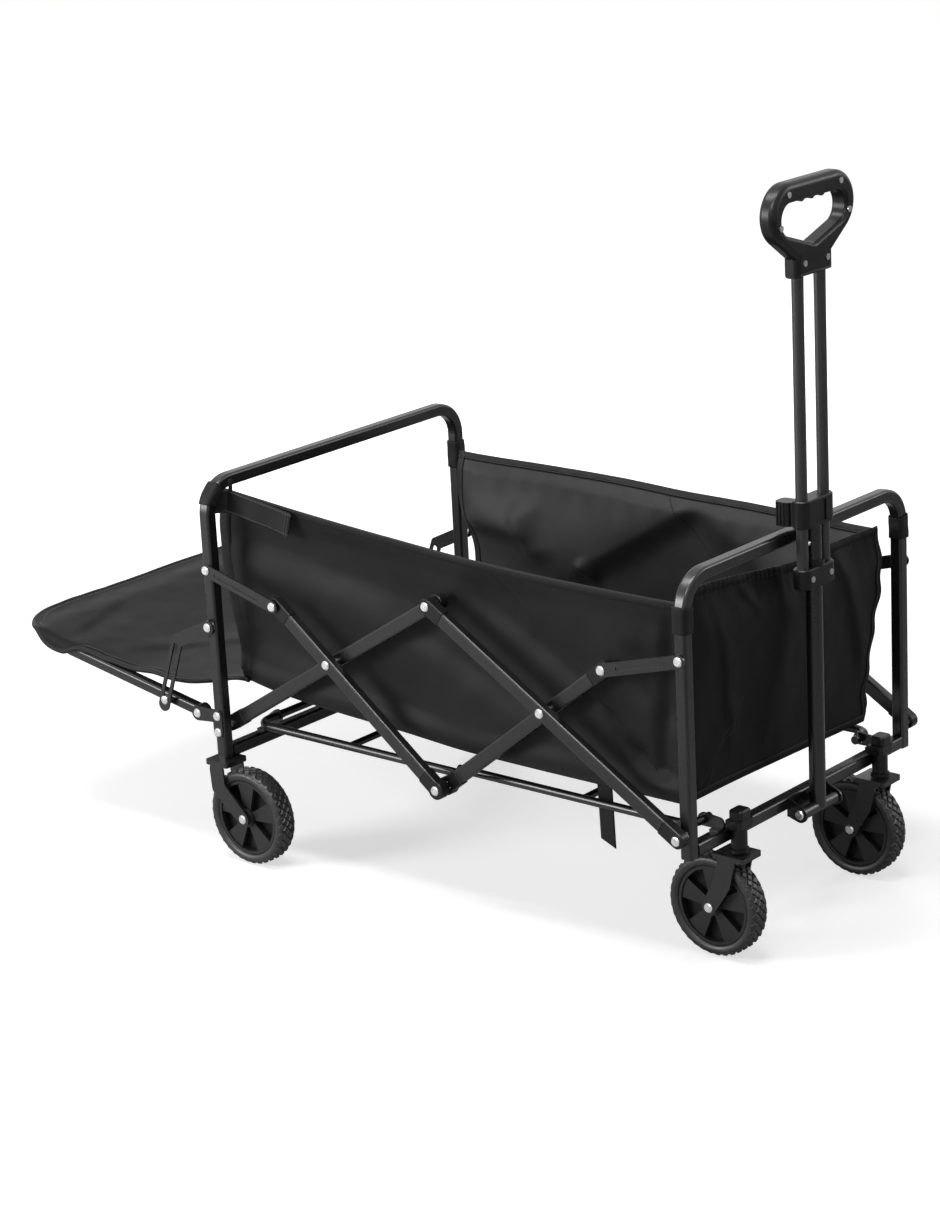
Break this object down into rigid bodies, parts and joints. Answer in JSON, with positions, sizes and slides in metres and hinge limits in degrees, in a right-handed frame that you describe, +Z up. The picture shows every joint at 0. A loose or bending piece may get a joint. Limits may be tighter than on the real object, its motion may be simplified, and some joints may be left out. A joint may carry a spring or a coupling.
{
  "type": "folding utility wagon",
  "caption": "Folding steel-framed wagon with a cloth basket, scissor side bars, swivel front wheels, drop-down tailgate and a telescopic pull handle.",
  "frame": {"origin": "on the floor, midway along the open wagon from the lowered tailgate edge to the front wheels, on the centre plane", "axes": "+X towards the pull handle, +Y to the left, +Z up"},
  "size_m": [1.2686, 0.5802, 0.995],
  "materials": {
    "powder_coated_steel": "satin black powder coat",
    "zinc_rivet": "bright zinc-plated rivet",
    "cap_plastic": "moulded black plastic end cap",
    "moulded_black_plastic": "fine-textured black plastic",
    "satin_black_rod": "smooth satin black coat",
    "dark_screw": "blackened steel screw head",
    "tyre_rubber": "black moulded tyre with small lugs",
    "rim_plastic": "semi-gloss black plastic rim",
    "black_oxford_cloth": "black woven polyester cloth",
    "webbing": "black woven webbing"
  },
  "bodies": {
    "rear_frame": {"rear_frame_tube": "powder_coated_steel", "rear_cross_tube": "powder_coated_steel", "rear_wheel_forks": "powder_coated_steel", "tailgate_hinge_plates": "powder_coated_steel", "rear_frame_rivets": "zinc_rivet", "rear_floor_brackets": "powder_coated_steel", "basket_side_right": "black_oxford_cloth", "basket_side_left": "black_oxford_cloth", "basket_floor": "black_oxford_cloth"},
    "rear_rising_bars": {"rear_rising_bars": "powder_coated_steel", "rear_rising_caps": "cap_plastic"},
    "rear_falling_bars": {"rear_falling_bars": "powder_coated_steel", "rear_falling_caps": "cap_plastic", "rear_falling_rivets": "zinc_rivet"},
    "front_falling_bars": {"front_falling_bars": "powder_coated_steel", "front_falling_caps": "cap_plastic", "front_falling_rivets": "zinc_rivet"},
    "front_rising_bars": {"front_rising_bars": "powder_coated_steel", "front_rising_caps": "cap_plastic"},
    "front_frame": {"front_frame_tube": "powder_coated_steel", "front_cross_tube": "powder_coated_steel", "front_frame_rivets": "zinc_rivet", "handle_bracket": "powder_coated_steel", "caster_housings": "moulded_black_plastic", "front_floor_brackets": "powder_coated_steel", "basket_front_panel": "black_oxford_cloth"},
    "rear_links": {"rear_links": "powder_coated_steel", "rear_link_rivets": "zinc_rivet"},
    "front_links": {"front_links": "powder_coated_steel", "front_link_rivets": "zinc_rivet"},
    "rear_floor": {"rear_floor_frame": "powder_coated_steel"},
    "front_floor": {"front_floor_frame": "powder_coated_steel", "hanging_strap": "webbing"},
    "tailgate": {"tailgate_frame": "powder_coated_steel", "tailgate_panel": "black_oxford_cloth", "tailgate_rivets": "zinc_rivet"},
    "tailgate_stays": {"tailgate_stays": "powder_coated_steel"},
    "handle": {"handle_tube": "powder_coated_steel", "upper_collar": "moulded_black_plastic"},
    "handle_slider": {"handle_rods": "satin_black_rod", "lower_collar": "moulded_black_plastic", "grip_front_half": "moulded_black_plastic", "grip_rear_half": "moulded_black_plastic", "handle_screws": "dark_screw"},
    "snap_button": {"snap_button": "zinc_rivet"},
    "caster_right": {"caster_fork_right": "powder_coated_steel", "caster_axle_right": "zinc_rivet"},
    "caster_left": {"caster_fork_left": "powder_coated_steel", "caster_axle_left": "zinc_rivet"},
    "wheel_rear_right": {"tyre_rear_right": "tyre_rubber", "rim_rear_right": "rim_plastic"},
    "wheel_rear_left": {"tyre_rear_left": "tyre_rubber", "rim_rear_left": "rim_plastic"},
    "wheel_front_right": {"tyre_front_right": "tyre_rubber", "rim_front_right": "rim_plastic"},
    "wheel_front_left": {"tyre_front_left": "tyre_rubber", "rim_front_left": "rim_plastic"}
  },
  "joints": [
    {"name": "fold", "type": "hinge", "parent": "rear_frame", "child": "rear_rising_bars", "pos_m": [-0.21865, 0, 0.195], "axis": [0, -1, 0], "range_deg": [0, 43], "deforming": ["basket_side_right", "basket_side_left", "basket_floor"]},
    {"name": "rear_scissor", "type": "hinge", "parent": "rear_rising_bars", "child": "rear_falling_bars", "pos_m": [-0.00523, 0, 0.32519], "axis": [0, -1, 0], "range_deg": [-81.35, 0]},
    {"name": "top_knuckle", "type": "hinge", "parent": "rear_rising_bars", "child": "front_falling_bars", "pos_m": [0.18135, 0, 0.439], "axis": [0, -1, 0], "range_deg": [-86.5, 0]},
    {"name": "front_scissor", "type": "hinge", "parent": "front_falling_bars", "child": "front_rising_bars", "pos_m": [0.36792, 0, 0.32519], "axis": [0, -1, 0], "range_deg": [0, 81.35]},
    {"name": "front_foot", "type": "hinge", "parent": "front_falling_bars", "child": "front_frame", "pos_m": [0.58135, 0, 0.195], "axis": [0, -1, 0], "range_deg": [0, 43.5]},
    {"name": "rear_link", "type": "hinge", "parent": "rear_frame", "child": "rear_links", "pos_m": [-0.21865, 0, 0.428], "axis": [0, -1, 0], "range_deg": [0, 87.33]},
    {"name": "front_link", "type": "hinge", "parent": "front_frame", "child": "front_links", "pos_m": [0.58135, 0, 0.428], "axis": [0, -1, 0], "range_deg": [-87.33, 0]},
    {"name": "rear_floor_hinge", "type": "hinge", "parent": "rear_frame", "child": "rear_floor", "pos_m": [-0.19465, 0, 0.19], "axis": [0, -1, 0], "range_deg": [0, 74.74]},
    {"name": "front_floor_hinge", "type": "hinge", "parent": "front_frame", "child": "front_floor", "pos_m": [0.55734, 0, 0.19], "axis": [0, -1, 0], "range_deg": [-74.74, 0]},
    {"name": "tailgate_hinge", "type": "hinge", "parent": "rear_frame", "child": "tailgate", "pos_m": [-0.25766, 0, 0.211], "axis": [0, 1, 0], "range_deg": [0, 80]},
    {"name": "stay_pivot", "type": "hinge", "parent": "rear_frame", "child": "tailgate_stays", "pos_m": [-0.21865, 0, 0.346], "axis": [0, 1, 0], "range_deg": [-29.1, 0]},
    {"name": "handle_hinge", "type": "hinge", "parent": "front_frame", "child": "handle", "pos_m": [0.61035, 0, 0.161], "axis": [0, 1, 0], "range_deg": [0, 90]},
    {"name": "handle_slide", "type": "slide", "parent": "handle", "child": "handle_slider", "axis": [0, 0, 1], "range_m": [-0.25, 0]},
    {"name": "button_press", "type": "slide", "parent": "handle", "child": "snap_button", "axis": [0, 1, 0], "range_m": [0, 0.003], "stiffness_N_per_m": 800},
    {"name": "caster_swivel_right", "type": "hinge", "parent": "front_frame", "child": "caster_right", "pos_m": [0.60035, -0.164, 0.145], "axis": [0, 0, 1], "continuous": true},
    {"name": "caster_swivel_left", "type": "hinge", "parent": "front_frame", "child": "caster_left", "pos_m": [0.60035, 0.164, 0.145], "axis": [0, 0, 1], "continuous": true},
    {"name": "spin_rear_right", "type": "hinge", "parent": "rear_frame", "child": "wheel_rear_right", "pos_m": [-0.17266, -0.266, 0.07], "axis": [0, 1, 0], "continuous": true},
    {"name": "spin_rear_left", "type": "hinge", "parent": "rear_frame", "child": "wheel_rear_left", "pos_m": [-0.17266, 0.266, 0.07], "axis": [0, 1, 0], "continuous": true},
    {"name": "spin_front_right", "type": "hinge", "parent": "caster_right", "child": "wheel_front_right", "pos_m": [0.56434, -0.164, 0.07], "axis": [0, 1, 0], "continuous": true},
    {"name": "spin_front_left", "type": "hinge", "parent": "caster_left", "child": "wheel_front_left", "pos_m": [0.56434, 0.164, 0.07], "axis": [0, 1, 0], "continuous": true}
  ],
  "couplings": [
    {"joint": "rear_scissor", "follows": "fold", "ratio": -1.8803},
    {"joint": "top_knuckle", "follows": "fold", "ratio": -2},
    {"joint": "front_scissor", "follows": "fold", "ratio": 1.8803},
    {"joint": "front_foot", "follows": "fold", "ratio": 1},
    {"joint": "rear_link", "follows": "fold", "ratio": 2.0194},
    {"joint": "front_link", "follows": "fold", "ratio": -2.0194},
    {"joint": "rear_floor_hinge", "follows": "fold", "ratio": 1.7265},
    {"joint": "front_floor_hinge", "follows": "fold", "ratio": -1.7265},
    {"joint": "stay_pivot", "follows": "tailgate_hinge", "ratio": -0.3575}
  ]
}
